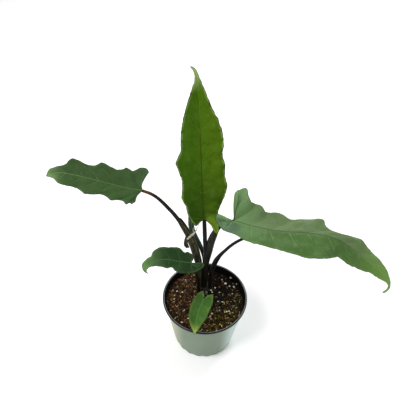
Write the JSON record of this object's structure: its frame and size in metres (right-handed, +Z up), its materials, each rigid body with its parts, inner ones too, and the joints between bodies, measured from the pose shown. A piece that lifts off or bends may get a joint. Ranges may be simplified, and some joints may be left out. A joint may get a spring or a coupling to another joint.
{
  "type": "potted alocasia lauterbachiana",
  "caption": "Young aroid house plant with long wavy arrow-shaped leaves on dark sheathed petioles, growing in soil in a small tapered nursery pot.",
  "frame": {"origin": "the middle of the pot's flat underside", "axes": "+Z up, the picture looks along +Y and down, +X to its right, towards the longest leaf"},
  "size_m": [0.4373, 0.1348, 0.4151],
  "materials": {
    "pot": "matt grey-green outside, black inside and on the lip",
    "soil": "crumbly dark peat with perlite, bark and moss",
    "stem": "dark fibrous stem base",
    "petiole": "smooth, nearly black plant stalk",
    "charcoal_sheath": "smooth charcoal plant sheath",
    "olive_sheath": "mottled dark olive plant sheath",
    "lime_leaf": "yellow-green leaf, satin",
    "mid_leaf": "mid green leaf with a grey sheen",
    "dark_leaf": "dark green leaf, satin, with paler veins",
    "dry_sheath": "dry papery plant tissue"
  },
  "bodies": {
    "root": {"pot": "pot", "soil": "soil", "crown": "stem", "upright_leaf_blade": "lime_leaf", "upright_leaf_petiole": "petiole", "left_leaf_blade": "dark_leaf", "left_leaf_petiole": "olive_sheath", "right_leaf_blade": "mid_leaf", "right_leaf_petiole": "charcoal_sheath", "low_leaf_blade": "dark_leaf", "low_leaf_petiole": "petiole", "front_leaf_blade": "mid_leaf", "front_leaf_petiole": "petiole", "under_leaf_blade": "dark_leaf", "under_leaf_petiole": "petiole", "rolled_leaf": "dark_leaf", "dry_sheath_rim": "dry_sheath"}
  },
  "joints": []
}
